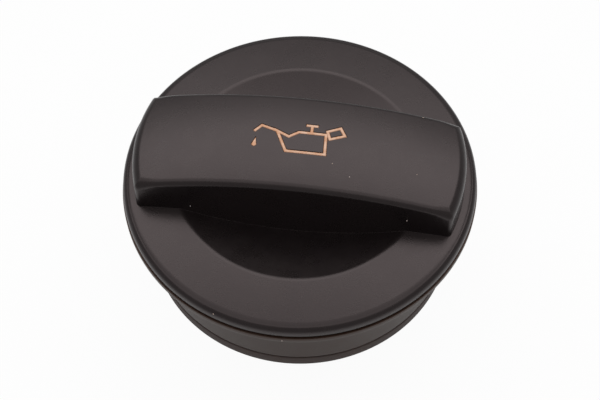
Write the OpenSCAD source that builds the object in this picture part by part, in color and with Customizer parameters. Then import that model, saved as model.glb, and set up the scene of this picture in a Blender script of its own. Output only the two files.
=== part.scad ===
// Oil filler cap: a moulded cover with an arched grip, on a body with a bayonet plug and a rubber ring.
// The axis of the cap is Z, the grip lies along X, and the plug's end is at Z = 0.

/* [Rim] */
// Step out from the collar to the rim's side
rim_overhang = 4; // [3.2:0.1:8]
// Height of the rim's side, from the upper seam to the shoulder
rim_h = 2.6; // [2.5:0.1:5]
// Radius of the rounded shoulder
shoulder_r = 1.6; // [0.8:0.1:1.9]
// Radius of the crowned top round the recess
crown_r = 230; // [150:5:500]
// Rounding of the rim's lower edge
rim_round = 0.6; // [0.2:0.1:0.7]

/* [Seams] */
// Height of the shadow seams between the pieces
seam_h = 0.3; // [0.2:0.05:0.5]
// Depth of the shadow seams
seam_depth = 0.9; // [0.7:0.1:1.4]

/* [Finger recess] */
// Distance from the rim's side in to the recess's edge
recess_inset = 9.8; // [8:0.1:11]
// Radius of its dished floor
dish_r = 75; // [65:1:120]

/* [Grip] */
// Height of the grip's middle above the shoulder
grip_h = 11.3; // [8:0.1:16]
// Radius of the arched top, seen from the side
arch_r = 106; // [90:1:200]
// Radius of the slight crown across the grip's top
grip_crown_r = 60; // [40:1:120]
// Width across the grip's top
grip_top_w = 20.4; // [18:0.1:21]
// Width across its foot, at the height of the shoulder
grip_foot_w = 22.6; // [21.4:0.1:24]
// Distance from the rim's side in to the two ends, which follow the rim's round
grip_end_inset = 2.8; // [2.5:0.1:4]
// Draft of the two ends, from the shoulder to the top
grip_end_draft = 0.3; // [0.1:0.1:0.6]
// Radius of the rounded top edges
grip_edge_r = 1.4; // [0.8:0.1:2]

/* [Cover inside] */
// Wall thickness of the cover
cover_wall = 2.2; // [1.6:0.1:2.6]
// Thickness of the two ribs across the grip's hollow core
core_rib_t = 1.5; // [1:0.1:2.5]
// Distance between those ribs
core_rib_pitch = 18; // [14:0.5:22]
// Reach of the spigot below the cover's seat
spigot_reach = 6; // [5:0.1:8]
// Wall thickness of the spigot
spigot_wall = 1.8; // [1.4:0.1:2.2]
// Clearance round the spigot, the keys and the plug's closed top
fit_gap = 0.15; // [0.1:0.05:0.3]
// Height of the snap beads on the spigot, measured outwards
snap_out = 0.5; // [0.3:0.05:0.6]
// Width of a snap bead along the axis
snap_h = 1.2; // [0.8:0.1:1.6]
// Turn that one snap bead covers
snap_angle = 16; // [10:1:20]

/* [Body] */
// Step out from the rim's side to the flange under it
flange_step = 0.2; // [0:0.1:1]
// Thickness of the flange
flange_h = 1.7; // [1.5:0.1:3]
// Rounding of the flange's lower edge
flange_round = 0.7; // [0.4:0.1:1.2]
// Height of the collar, from its foot to the flange
collar_h = 13.8; // [12:0.1:18]
// Bevel of the flange's upper edge and the collar's foot
body_bevel = 0.25; // [0.1:0.05:0.3]
// Wall thickness of the body
body_wall = 2.2; // [1.8:0.1:2.6]
// Width of the drive keys inside the collar
key_w = 3; // [2:0.1:4]
// Reach of the drive keys from the collar's wall
key_reach = 1.5; // [1:0.1:1.7]

/* [Bayonet plug] */
// Diameter of the plug
plug_d = 41; // [38:0.2:42]
// Reach of the plug below the sealing face
plug_drop = 11.6; // [11:0.1:14]
// Gap between the plug's closed top and the cover above it
plug_top_gap = 0.6; // [0.4:0.1:1.5]
// Reach of a lug from the plug's wall
lug_out = 2.7; // [2:0.1:3.2]
// Height of a lug at its middle
lug_h = 4.6; // [3.6:0.1:5.4]
// Turn that one lug covers
lug_angle = 44; // [30:1:50]
// Slope of the clamping ramp on a lug
ramp_angle = 4; // [2:0.5:6]
// Bevel under a lug and at the plug's end
lug_bevel = 0.8; // [0.4:0.1:1.2]
// Height of the stop at the high end of a lug's ramp, above the lug's middle
stop_h = 3.4; // [2:0.1:4]
// Turn that a stop covers
stop_angle = 5; // [3:0.5:7]
// Thickness of the crossed ribs inside the plug
plug_rib_t = 1.6; // [1.2:0.1:2.4]
// Height of the crossed ribs' lower edge above the plug's end
plug_rib_z = 3; // [1:0.5:6]

/* [Sealing ring] */
// Width of the ring, from the clearance round the plug out to the collar's side
seal_w = 8.1; // [7.5:0.1:12]
// Height of the lip that shows under the collar
seal_lip_h = 2.5; // [1.6:0.1:3]
// Height of the tongue that sits inside the collar's foot
seal_tongue_h = 2.5; // [1.6:0.1:3.5]
// Clearance between the ring and the plug
seal_gap = 0.4; // [0.2:0.05:0.8]
// Depth of the groove between the ring's two sealing beads
seal_groove = 0.6; // [0.3:0.1:1]
// Width of a sealing bead's flat crest
seal_bead_w = 1.2; // [0.8:0.1:1.8]
// Rounding of the lip's outer corner
seal_corner_r = 0.3; // [0.2:0.1:0.8]

/* [Symbol] */
// Width of the oil-can symbol
symbol_w = 16.6; // [12:0.2:20]
// Width of its lines
symbol_line = 0.62; // [0.4:0.02:0.8]
// Depth of its engraving
symbol_depth = 0.5; // [0.3:0.05:0.8]
// Depth of the orange infill below the grip's surface
symbol_sink = 0.04; // [0.02:0.02:0.12]

/* [Hidden] */
$fn = 96;
overcut = 1;
cover_colour = "#544c4c";
body_colour = "#453f3f";
seal_colour = "#3a3636";
symbol_colour = "#d9925c";

// Levels from the plug's end upwards
seal_face_z = plug_drop;
lip_top_z = seal_face_z + seal_lip_h;
collar_foot_z = lip_top_z + seam_h;
flange_z = collar_foot_z + collar_h;
seat_z = flange_z + flange_h;
seam_z = seat_z + seam_h;
shoulder_z = seam_z + rim_h;
floor_z = collar_foot_z + seal_tongue_h;

// Radii
plug_r = plug_d / 2;
plug_in_r = plug_r - body_wall;
collar_r = plug_r + seal_gap + seal_w;
collar_in_r = collar_r - body_wall;
rim_r = collar_r + rim_overhang;
flange_r = rim_r + flange_step;
recess_r = rim_r - recess_inset;
spigot_r = collar_in_r - fit_gap;
spigot_in_r = spigot_r - spigot_wall;
seat_r = min(rim_r, flange_r) - seam_depth;

// Crown, tangent to the shoulder's round, and dish below it
shoulder_c = rim_r - shoulder_r;
crown_c = shoulder_z - shoulder_r - sqrt(pow(crown_r - shoulder_r, 2) - pow(shoulder_c, 2));
crown_tilt = asin(shoulder_c / (crown_r - shoulder_r));
function crown_z(r) = crown_c + sqrt(crown_r * crown_r - r * r);
dish_c = crown_z(recess_r) + sqrt(dish_r * dish_r - recess_r * recess_r);
function dish_z(r) = dish_c - sqrt(dish_r * dish_r - r * r);

// Grip
grip_top_z = shoulder_z + grip_h;
arch_c = grip_top_z - arch_r;
grip_draft = atan((grip_foot_w - grip_top_w) / 2 / grip_h);
grip_end_r = rim_r - grip_end_inset;
grip_end_top_r = grip_end_r - grip_end_draft;
core_bevel = 0.5;
grip_floor_z = dish_z(grip_top_w / 2 - cover_wall) - cover_wall / 8;
sweep_half = asin((grip_end_r + overcut) / (arch_r - grip_h));

// Closed top of the plug, under the cover's dish
plug_top_z = dish_z(0) - cover_wall - plug_top_gap;
spigot_z = seat_z - spigot_reach;
snap_z = spigot_z + snap_h;
key_angles = [40, 90, 140];
snap_angles = [65, 115];

// Points of an arc about c, from angle a0 to a1
function arc(c, r, a0, a1, n) =
    [for (i = [0:n]) c + r * [cos(a0 + (a1 - a0) * i / n), sin(a0 + (a1 - a0) * i / n)]];

// Solid of revolution between two angles, from an outline in radius and height
module sector(start, turn) {
    rotate([0, 0, start])
        rotate_extrude(angle = turn)
            children();
}

// Section of the cover's disc: dish, crown, shoulder, seam, seat, spigot and the dished underside
module disc_section() {
    dish_steps = 9;
    crown_steps = 4;
    top = [for (i = [0:dish_steps]) [recess_r * i / dish_steps, dish_z(recess_r * i / dish_steps)]];
    tangent_r = shoulder_c + shoulder_r * sin(crown_tilt);
    crown_step = (tangent_r - recess_r) / crown_steps;
    crown = [for (i = [1:crown_steps - 1]) [recess_r + crown_step * i, crown_z(recess_r + crown_step * i)]];
    shoulder = arc([shoulder_c, shoulder_z - shoulder_r], shoulder_r, 90 - crown_tilt, 0, 6);
    lower_edge = arc([rim_r - rim_round, seam_z + rim_round], rim_round, 0, -90, 3);
    side = [
        [seat_r, seam_z],
        [seat_r, seat_z],
        [spigot_r, seat_z],
        [spigot_r, spigot_z + spigot_wall / 3],
        [spigot_r - spigot_wall / 3, spigot_z],
        [spigot_in_r, spigot_z],
        [spigot_in_r, seam_z]
    ];
    under_r = sqrt(pow(dish_r, 2) - pow(dish_c - seam_z - cover_wall, 2));
    under = [for (i = [0:dish_steps])
        let (r = under_r * (1 - i / dish_steps)) [r, dish_z(r) - cover_wall]];
    polygon(concat(top, crown, shoulder, lower_edge, side, under));
}

// Section across the grip, X up along the arch's radius, Y across, drawn in by an inset.
// The round of its upper corners touches the crowned top and the drafted side.
module grip_section(inset, depth) {
    edge_r = grip_edge_r - inset;
    slope = tan(grip_draft);
    half = grip_top_w / 2 + inset * slope - inset / cos(grip_draft);
    crown_mid = arch_r - grip_crown_r;
    crown_in = grip_crown_r - inset;
    reach = half + crown_in * slope - edge_r / cos(grip_draft);
    span = pow(crown_in - edge_r, 2) * (1 + slope * slope) - reach * reach;
    rise = (reach * slope + sqrt(span)) / (1 + slope * slope);
    corner = [crown_mid + rise, reach - rise * slope];
    tilt = atan2(corner.y, rise);
    side = arc(corner, edge_r, 90 - grip_draft, tilt, 5);
    crown = arc([crown_mid, 0], crown_in, tilt, -tilt, 6);
    crown_inside = [for (i = [1:len(crown) - 2]) crown[i]];
    mirrored = [for (i = [len(side) - 1:-1:0]) [side[i].x, -side[i].y]];
    foot = [arch_r - depth, half + (depth - inset) * slope];
    polygon(concat([foot], side, crown_inside, mirrored, [[foot.x, -foot.y]]));
}

// A section swept along the arch
module arch_sweep() {
    translate([0, 0, arch_c])
        rotate([90, 0, 0])
            sector(90 - sweep_half, 2 * sweep_half)
                children();
}

// The grip's own section, swept
module grip_sweep(inset, depth) {
    arch_sweep()
        grip_section(inset, depth);
}

// Section of the grip's hollow core: flat on top, a wall inside the crown and the drafted sides
module core_section(depth) {
    slope = tan(grip_draft);
    side = grip_top_w / 2 - cover_wall / cos(grip_draft);
    roof = cover_wall + grip_crown_r - sqrt(pow(grip_crown_r, 2) - side * side);
    bevel_foot = roof + core_bevel;
    right = [
        [arch_r - depth, side + depth * slope],
        [arch_r - bevel_foot, side + bevel_foot * slope],
        [arch_r - roof, side + roof * slope - core_bevel]
    ];
    left = [for (i = [2:-1:0]) [right[i].x, -right[i].y]];
    polygon(concat(right, left));
}

// Round body that cuts the grip's two ends, with their rounded upper edge
module grip_ends() {
    edge_end = 55;
    edge_c = grip_end_top_r - grip_edge_r;
    edge_z = arch_c + sqrt(pow(arch_r - grip_edge_r, 2) - pow(edge_c, 2));
    edge = arc([edge_c, edge_z], grip_edge_r, 0, edge_end, 6);
    last = edge[len(edge) - 1];
    rotate_extrude()
        polygon(concat(
            [[0, grip_floor_z], [grip_end_r, grip_floor_z], [grip_end_r, shoulder_z]],
            edge,
            [[0, last.y + last.x * tan(90 - edge_end)]]
        ));
}

// Hollow core of the grip, open downwards, with two ribs left across it
module grip_core() {
    core_depth = grip_top_z - spigot_z;
    difference() {
        intersection() {
            arch_sweep()
                core_section(core_depth + overcut);
            translate([0, 0, spigot_z - overcut])
                cylinder(h = core_depth + overcut, r = grip_end_top_r - cover_wall);
        }
        for (side = [-1, 1])
            translate([side * core_rib_pitch / 2 - core_rib_t / 2, -grip_foot_w / 2, dish_z(0) - cover_wall])
                cube([core_rib_t, grip_foot_w, grip_h + cover_wall + rim_h + overcut]);
    }
}

// Slots of the spigot that take the body's drive keys
module key_slots() {
    slot_w = key_w + 2 * fit_gap;
    for (half = [0, 180], a = key_angles)
        rotate([0, 0, half + a])
            translate([spigot_in_r - overcut, -slot_w / 2, spigot_z - overcut])
                cube([spigot_wall + 2 * overcut, slot_w, spigot_reach + overcut - fit_gap]);
}

// Snap beads on the spigot, bevelled towards their tip
module snap_beads() {
    bite = spigot_wall / 3;
    for (half = [0, 180], a = snap_angles)
        sector(half + a - snap_angle / 2, snap_angle)
            polygon([
                [spigot_r - bite, snap_z],
                [spigot_r, snap_z],
                [spigot_r + snap_out, snap_z + snap_h * 0.6],
                [spigot_r + snap_out, snap_z + snap_h * 0.8],
                [spigot_r, snap_z + snap_h],
                [spigot_r - bite, snap_z + snap_h]
            ]);
}

module grip_cover() {
    color(cover_colour)
        difference() {
            union() {
                rotate_extrude()
                    disc_section();
                intersection() {
                    grip_sweep(0, grip_top_z - grip_floor_z + overcut);
                    grip_ends();
                }
                snap_beads();
            }
            grip_core();
            key_slots();
            symbol_cut();
        }
}

// Section of the body: flange, collar, floor and the plug's cup with its closed top
module body_section() {
    upper = [
        [0, plug_top_z],
        [plug_r, plug_top_z],
        [plug_r, floor_z + body_wall],
        [collar_in_r, floor_z + body_wall],
        [collar_in_r, seat_z],
        [flange_r - body_bevel, seat_z],
        [flange_r, seat_z - body_bevel]
    ];
    flange_edge = arc([flange_r - flange_round, flange_z + flange_round], flange_round, 0, -90, 4);
    lower = [
        [collar_r, flange_z],
        [collar_r, collar_foot_z + body_bevel],
        [collar_r - body_bevel, collar_foot_z],
        [collar_in_r, collar_foot_z],
        [collar_in_r, floor_z],
        [plug_r, floor_z],
        [plug_r, lug_bevel],
        [plug_r - lug_bevel, 0],
        [plug_in_r, 0],
        [plug_in_r, plug_top_z - body_wall],
        [0, plug_top_z - body_wall]
    ];
    polygon(concat(upper, flange_edge, lower));
}

// Ring groove inside the collar that the snap beads click into
module snap_groove() {
    rotate_extrude()
        polygon([
            [collar_in_r - overcut, snap_z - fit_gap],
            [collar_in_r, snap_z - fit_gap],
            [collar_in_r + snap_out, snap_z + snap_h * 0.4],
            [collar_in_r + snap_out, snap_z + snap_h + fit_gap],
            [collar_in_r - overcut, snap_z + snap_h + fit_gap]
        ]);
}

// Keys inside the collar that drive the body by the spigot's slots
module drive_keys() {
    for (half = [0, 180], a = key_angles)
        rotate([0, 0, half + a])
            translate([collar_in_r - key_reach, -key_w / 2, floor_z + body_wall / 2])
                cube([key_reach + body_wall / 2, key_w, seat_z - 2 * fit_gap - floor_z - body_wall / 2]);
}

// One bayonet lug with its sloping ramp on top and the stop at the ramp's high end.
// Both are drawn from the high end on, so that their end faces are one plane.
module lug() {
    root_r = plug_r - body_wall / 2;
    out_r = plug_r + lug_out;
    tall = lug_h * 2;
    mirror([0, 1, 0]) {
        intersection() {
            sector(-lug_angle / 2, lug_angle)
                polygon([
                    [root_r, 0],
                    [out_r - lug_bevel, 0],
                    [out_r, lug_bevel],
                    [out_r, tall],
                    [root_r, tall]
                ]);
            rotate([-ramp_angle, 0, 0])
                translate([0, -out_r, lug_h - 2 * tall])
                    cube([out_r + overcut, 2 * out_r, 2 * tall]);
        }
        sector(-lug_angle / 2, stop_angle)
            translate([root_r, lug_h / 2])
                square([plug_r + lug_out / 2 - root_r, lug_h / 2 + stop_h]);
    }
}

// Crossed ribs that stiffen the plug's cup
module plug_ribs() {
    rib_h = plug_top_z - body_wall / 2 - plug_rib_z;
    length = 2 * plug_in_r + body_wall;
    for (a = [0, 90])
        rotate([0, 0, a])
            translate([-length / 2, -plug_rib_t / 2, plug_rib_z])
                cube([length, plug_rib_t, rib_h]);
}

module plug_body() {
    color(body_colour)
        union() {
            difference() {
                rotate_extrude()
                    body_section();
                snap_groove();
            }
            difference() {
                drive_keys();
                snap_groove();
            }
            for (turn = [0, 180])
                rotate([0, 0, turn])
                    lug();
            plug_ribs();
        }
}

// Rubber ring: a lip flush with the collar, a tongue up inside its foot and two sealing beads below
module sealing_ring() {
    in_r = plug_r + seal_gap;
    groove_in = in_r + seal_bead_w + seal_groove;
    groove_out = collar_r - seal_corner_r - seal_bead_w - seal_groove;
    color(seal_colour)
        rotate_extrude()
            polygon(concat(
                [
                    [in_r, seal_face_z],
                    [in_r + seal_bead_w, seal_face_z],
                    [groove_in, seal_face_z + seal_groove],
                    [groove_out, seal_face_z + seal_groove],
                    [groove_out + seal_groove, seal_face_z]
                ],
                arc([collar_r - seal_corner_r, seal_face_z + seal_corner_r], seal_corner_r, -90, 0, 4),
                [
                    [collar_r, lip_top_z],
                    [collar_r - seam_depth, lip_top_z],
                    [collar_r - seam_depth, collar_foot_z],
                    [collar_in_r, collar_foot_z],
                    [collar_in_r, floor_z],
                    [in_r, floor_z]
                ]
            ));
}

// Mitred lines: unit offsets to the left of each point of a path
function unit(v) = v / norm(v);
function side_of(a, b) = unit([a.y - b.y, b.x - a.x]);
function mitre(a, b, c) = (side_of(a, b) + side_of(b, c)) / (1 + side_of(a, b) * side_of(b, c));
function open_mitres(p) = [for (i = [0:len(p) - 1])
    i == 0 ? side_of(p[0], p[1])
    : i == len(p) - 1 ? side_of(p[i - 1], p[i])
    : mitre(p[i - 1], p[i], p[i + 1])];
function closed_mitres(p) = [for (i = [0:len(p) - 1])
    mitre(p[(i + len(p) - 1) % len(p)], p[i], p[(i + 1) % len(p)])];
function reversed(p) = [for (i = [len(p) - 1:-1:0]) p[i]];

// Oil-can symbol in plan, drawn at one width and scaled to symbol_w
symbol_drawn_w = 16.6;
symbol_scale = symbol_w / symbol_drawn_w;
can_body = [[-4.15, 1.5], [-1.9, 0.4], [-0.15, 1.55], [4.75, 1.55], [4.95, -2.7], [-2.15, -2.7]];
can_spout = [[-8.35, 1.1], [-7.05, 2.5], [-4.15, 1.5]];
can_lid = [[0.95, 3.2], [3.25, 3.2]];
can_stem = [[2.1, 3.2], [2.1, 1.55]];
can_handle = [[4.95, 2.3], [7.25, 3.4], [8.15, 1.8], [5.55, 0.7]];
drop_tip = [-7.85, -0.1];
drop_c = [-8, -1.7];
drop_r = norm(drop_tip - drop_c) / 4;

// Line of the symbol along open points
module open_line(points) {
    p = points * symbol_scale;
    m = open_mitres(p) * symbol_line / 2;
    polygon(concat(p + m, reversed(p - m)));
}

// Line of the symbol round a closed outline
module closed_line(points) {
    p = points * symbol_scale;
    m = closed_mitres(p) * symbol_line / 2;
    difference() {
        polygon(p + m);
        polygon(p - m);
    }
}

module symbol_plan() {
    closed_line(can_body);
    open_line(can_spout);
    open_line(can_lid);
    open_line(can_stem);
    closed_line(can_handle);
    drop_round = arc(drop_c * symbol_scale, drop_r * symbol_scale, 150, 390, 8);
    polygon(concat([drop_tip * symbol_scale], drop_round));
}

// The symbol's plan through the top of the grip
module symbol_prism() {
    translate([0, 0, grip_top_z - grip_h / 2])
        linear_extrude(height = grip_h)
            symbol_plan();
}

// The engraving, down to its depth below the grip's top
module symbol_cut() {
    difference() {
        symbol_prism();
        grip_sweep(symbol_depth, grip_h);
    }
}

// The paint, between the engraving's floor and just below the grip's top
module symbol_fill() {
    intersection() {
        symbol_prism();
        difference() {
            grip_sweep(symbol_sink, grip_h);
            grip_sweep(symbol_depth, grip_h + overcut);
        }
    }
}

module oil_can_symbol() {
    color(symbol_colour)
        symbol_fill();
}

grip_cover();
plug_body();
sealing_ring();
oil_can_symbol();
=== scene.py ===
"""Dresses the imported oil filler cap: a satin black cover with an arched grip, a body with a bayonet
plug, a rubber sealing ring and an orange oil-can symbol, on a plain pale floor.

The cover's top is one smooth surface: a distance function of the crown, the dished recess and the
grip, with every edge rounded, and a mesh whose points are drawn onto it.
"""

import math
from types import SimpleNamespace

import bmesh
import bpy
import numpy as np
from bpy.props import FloatProperty, FloatVectorProperty, IntProperty, PointerProperty
from mathutils import Matrix, Vector
from mathutils.geometry import delaunay_2d_cdt


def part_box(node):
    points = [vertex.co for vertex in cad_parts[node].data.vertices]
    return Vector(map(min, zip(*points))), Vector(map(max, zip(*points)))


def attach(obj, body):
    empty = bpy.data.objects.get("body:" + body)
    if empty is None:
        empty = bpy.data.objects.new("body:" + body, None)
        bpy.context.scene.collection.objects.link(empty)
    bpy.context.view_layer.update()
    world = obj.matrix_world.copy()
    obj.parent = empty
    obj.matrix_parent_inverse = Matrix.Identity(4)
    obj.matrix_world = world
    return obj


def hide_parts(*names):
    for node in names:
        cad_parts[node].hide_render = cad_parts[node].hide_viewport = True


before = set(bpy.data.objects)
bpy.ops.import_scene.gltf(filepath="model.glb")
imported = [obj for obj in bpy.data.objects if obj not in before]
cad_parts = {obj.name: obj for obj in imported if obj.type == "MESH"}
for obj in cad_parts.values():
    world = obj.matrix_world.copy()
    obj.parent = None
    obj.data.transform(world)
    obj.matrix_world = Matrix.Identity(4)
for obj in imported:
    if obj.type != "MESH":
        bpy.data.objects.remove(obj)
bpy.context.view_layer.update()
MM = 0.001
MERGE = 1e-7  # metres, below which points of a main piece are one
SHARP = math.radians(28)

bl_info = {
    "name": "Oil filler cap",
    "version": (1, 0, 0),
    "blender": (4, 5, 0),
    "location": "3D View > Sidebar > Filler cap",
    "description": "Builds the look of a moulded oil filler cap round its CAD solids",
    "category": "Object",
}


# ---- Sizes and finishes that a user would change


def length(name, description, default):
    return FloatProperty(
        name=name, description=description, default=default, unit="LENGTH", precision=5
    )


def share(name, description, default):
    return FloatProperty(
        name=name, description=description, default=default, subtype="FACTOR", min=0, max=1
    )


def paint(name, description, default):
    return FloatVectorProperty(
        name=name, description=description, default=default, subtype="COLOR", size=3, min=0, max=1
    )


def degrees(name, description, default):
    return FloatProperty(
        name=name, description=description, default=math.radians(default), subtype="ANGLE"
    )


class CoverSizes(bpy.types.PropertyGroup):
    """Sizes of the cover's top and grip, as in the CAD source"""

    rim_height: length("Rim height", "From the upper seam to the shoulder", 2.6 * MM)
    shoulder: length("Shoulder", "Radius of the rounded shoulder", 1.6 * MM)
    rim_round: length("Rim rounding", "Radius of the rim's lower edge", 0.9 * MM)
    rim_lean: length("Rim lean", "How far the rim's side leans out down to the seam", 0.03 * MM)
    crown: length("Crown", "Radius of the crowned top round the recess", 230 * MM)
    flange_step: length("Flange step", "From the rim's side out to the flange", 0.2 * MM)
    recess_inset: length("Recess inset", "From the rim's side in to the recess", 9.8 * MM)
    dish: length("Dish", "Radius of the recess's dished floor", 75 * MM)
    ridge: length("Ridge", "Half width of the softened ridge round the recess", 0.45 * MM)
    grip_height: length("Grip height", "From the shoulder to the grip's middle", 11.3 * MM)
    grip_crown: length("Grip crown", "Radius of the slight crown across the grip's top", 60 * MM)
    arch: length("Arch", "Radius of the grip's arched top", 106 * MM)
    grip_top: length("Grip top", "Width across the grip's top", 20.0 * MM)
    grip_foot: length("Grip foot", "Width across the grip's foot", 22.3 * MM)
    end_inset: length("End inset", "From the rim's side in to the grip's ends", 2.3 * MM)
    end_draft: length("End draft", "How far the ends lean in up to their top", 0.1 * MM)
    edge: length("Top edge", "Radius of the grip's long top edges", 0.95 * MM)
    end_edge: length("End edge", "Radius of the top edges at the grip's ends", 1.6 * MM)
    corner: length("Corner", "Radius of the grip's upright corners", 0.6 * MM)
    foot: length("Foot fillet", "Radius where the grip meets the cover", 0.02 * MM)
    segments: IntProperty(name="Segments", description="Steps round the rim", default=360, min=48)


class BodySizes(bpy.types.PropertyGroup):
    """Sizes of the seams, the body, the bayonet plug and the sealing ring"""

    seam: length("Seam", "Height of the shadow seams", 0.3 * MM)
    seam_depth: length("Seam depth", "Depth of the shadow seams", 0.9 * MM)
    flange: length("Flange", "Thickness of the flange", 1.7 * MM)
    flange_round: length("Flange rounding", "Radius of the flange's lower edge", 0.7 * MM)
    flange_lean: length("Flange lean", "How far the flange's side leans in down to its edge", 0.05 * MM)
    tongue: length("Tongue", "Height of the ring's tongue inside the collar", 2.5 * MM)
    wall: length("Wall", "Wall thickness of the body", 2.2 * MM)
    plug: length("Plug", "Radius of the bayonet plug", 20.5 * MM)
    plug_top_gap: length("Plug top gap", "Between the plug's closed top and the cover", 0.6 * MM)
    spigot: length("Spigot", "Reach of the cover's spigot below its seat", 6 * MM)
    lug_out: length("Lug reach", "Reach of a lug from the plug", 2.7 * MM)
    lug_height: length("Lug height", "Height of a lug at its middle", 4.6 * MM)
    lug_turn: degrees("Lug turn", "Turn that a lug covers", 44)
    lug_slope: degrees("Lug slope", "Slope of the clamping ramp", 4)
    lug_bevel: length("Lug bevel", "Bevel under a lug and at the plug's end", 0.8 * MM)
    stop_height: length("Stop height", "Height of the stop above the lug's middle", 3.4 * MM)
    stop_turn: degrees("Stop turn", "Turn that a stop covers", 5)
    rib: length("Rib", "Thickness of the crossed ribs in the plug", 1.6 * MM)
    rib_lift: length("Rib lift", "From the plug's end to the ribs' lower edge", 3 * MM)
    softening: length("Softening", "Radius of the small rounded edges", 0.22 * MM)
    ring_gap: length("Ring gap", "Clearance between the ring and the plug", 0.4 * MM)
    ring_groove: length("Ring groove", "Depth between the ring's two beads", 0.6 * MM)
    ring_bead: length("Ring bead", "Width of a bead's flat crest", 1.2 * MM)
    ring_corner: length("Ring corner", "Rounding of the lip's outer corner", 0.3 * MM)


class SymbolSizes(bpy.types.PropertyGroup):
    """Sizes of the engraved oil-can symbol"""

    width: length("Width", "Width of the symbol", 16.6 * MM)
    line: length("Line", "Width of its lines", 0.62 * MM)
    depth: length("Depth", "Depth of the engraving", 0.5 * MM)
    sink: length("Sink", "How far the paint lies below the grip's surface", 0.04 * MM)
    lip: length("Lip", "Width of the bevel round the engraving", 0.05 * MM)
    dome: length("Dome", "How far the paint rises from its edges to its middle", 0.1 * MM)


class Finishes(bpy.types.PropertyGroup):
    """Colours and surface values of the materials"""

    plastic: paint("Plastic", "Colour of the moulded plastic", (0.0045, 0.0032, 0.0034))
    collar: paint("Collar", "Colour of the body's plastic", (0.022, 0.011, 0.007))
    rubber: paint("Rubber", "Colour of the sealing ring", (0.030, 0.020, 0.016))
    orange: paint("Orange", "Colour of the symbol's paint", (0.74, 0.47, 0.33))
    # painted shade at the paint's edges, where it meets the engraving's wall
    orange_edge: paint("Orange edge", "Colour of the paint where it is thin", (0.36, 0.13, 0.045))
    dust: paint("Dust", "Colour of dust and specks", (0.42, 0.36, 0.33))
    speck: paint("Speck", "Colour of the few bright specks", (0.8, 0.74, 0.74))
    speck_size: length("Speck size", "Radius of a speck", 0.16 * MM)
    sheen: paint("Reflection", "Warm tint of the plastic's reflections", (1.0, 0.84, 0.84))
    collar_sheen: paint("Collar reflection", "Tint of the body's reflections", (1.0, 0.72, 0.62))
    gloss: share("Roughness", "Roughness of the moulded plastic", 0.28)
    grain: length("Grain", "Size of the moulded grain", 0.22 * MM)


# ---- The camera and the stage


class StageSizes(bpy.types.PropertyGroup):
    """Where the camera stands, and the size of the floor"""

    distance: length("Distance", "From the camera to the point it looks at", 0.3)
    azimuth: degrees("Azimuth", "Turn of the camera round the cap", 7.986)
    elevation: degrees("Elevation", "Height of the camera", 57.833)
    roll: degrees("Roll", "Turn about the line of sight", -1.155)
    lens: FloatProperty(
        name="Lens", description="Focal length", default=97.7155, subtype="DISTANCE_CAMERA"
    )
    aim: FloatVectorProperty(
        name="Aim",
        description="Point that the camera looks at",
        default=(0.7883 * MM, -5.8517 * MM, 32.8 * MM),
        subtype="XYZ",
        unit="LENGTH",
    )
    floor: length("Floor", "Radius of the floor", 2.0)


def settings():
    """The sizes and finishes as they stand in the scene."""
    return bpy.context.scene.filler_cap


# ---- Levels and radii, worked out from the frame and the sizes


def cap_levels():
    """Every level and radius that the pieces share, in metres."""
    s = settings()
    cover, body = s.cover, s.body
    c = SimpleNamespace()
    c.grip_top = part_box("grip_cover")[1].z
    c.flange_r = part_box("plug_body")[1].x
    c.ring_lo, c.ring_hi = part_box("sealing_ring")
    c.seal_face = c.ring_lo.z
    c.collar_r = c.ring_hi.x
    c.floor = c.ring_hi.z
    c.collar_foot = c.floor - body.tongue
    c.lip_top = c.collar_foot - body.seam
    c.shoulder = c.grip_top - cover.grip_height
    c.seam = c.shoulder - cover.rim_height
    c.seat = c.seam - body.seam
    c.flange = c.seat - body.flange
    c.rim_r = c.flange_r - cover.flange_step
    c.seat_r = c.rim_r - body.seam_depth
    c.recess_r = c.rim_r - cover.recess_inset
    c.end_r = c.rim_r - cover.end_inset
    c.collar_in_r = c.collar_r - body.wall
    c.plug_in_r = body.plug - body.wall
    c.spigot_r = c.collar_in_r - 0.15 * MM
    c.shoulder_c = c.rim_r - cover.shoulder
    fall = math.sqrt((cover.crown - cover.shoulder) ** 2 - c.shoulder_c**2)
    c.crown_c = c.shoulder - cover.shoulder - fall
    ridge_z = c.crown_c + math.sqrt(cover.crown**2 - c.recess_r**2)
    c.dish_c = ridge_z + math.sqrt(cover.dish**2 - c.recess_r**2)
    c.arch_c = c.grip_top - cover.arch
    c.draft = math.atan((cover.grip_foot - cover.grip_top) / 2 / cover.grip_height)
    c.plug_top = c.dish_c - cover.dish - body.wall - body.plug_top_gap
    return c


# ---- The cover's surface as a distance function

EDGE_WIDENS = 6 * MM  # from the grip's ends, where its long top edge starts to widen
EDGE_BLEND = 4 * MM  # length over which it widens to the end's edge


def rounded_max(a, b, radius):
    """What is inside both surfaces, its edge rounded."""
    return np.minimum(np.maximum(a, b), -radius) + np.hypot(
        np.maximum(a + radius, 0), np.maximum(b + radius, 0)
    )


def filleted_min(a, b, radius):
    """What is inside either surface, its inner corner filled."""
    return np.maximum(np.minimum(a, b), radius) - np.hypot(
        np.maximum(radius - a, 0), np.maximum(radius - b, 0)
    )


def softened_max(a, b, reach):
    """What is inside both surfaces, a blunt ridge eased over the reach."""
    return np.maximum(a, b) + np.maximum(reach - np.abs(a - b), 0) ** 2 / (4 * reach)


def disc_distance(c, p):
    """Distance of the points p from the crown, the dish and the rim's side."""
    cover = settings().cover
    r, z = np.hypot(p[:, 0], p[:, 1]), p[:, 2]
    crown = np.hypot(r, z - c.crown_c) - cover.crown
    dish = cover.dish - np.hypot(r, z - c.dish_c)
    turn = math.asin(c.recess_r / cover.dish) + math.asin(c.recess_r / cover.crown)
    return softened_max(rounded_max(crown, r - c.rim_r, cover.shoulder), dish, cover.ridge * turn)


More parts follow.
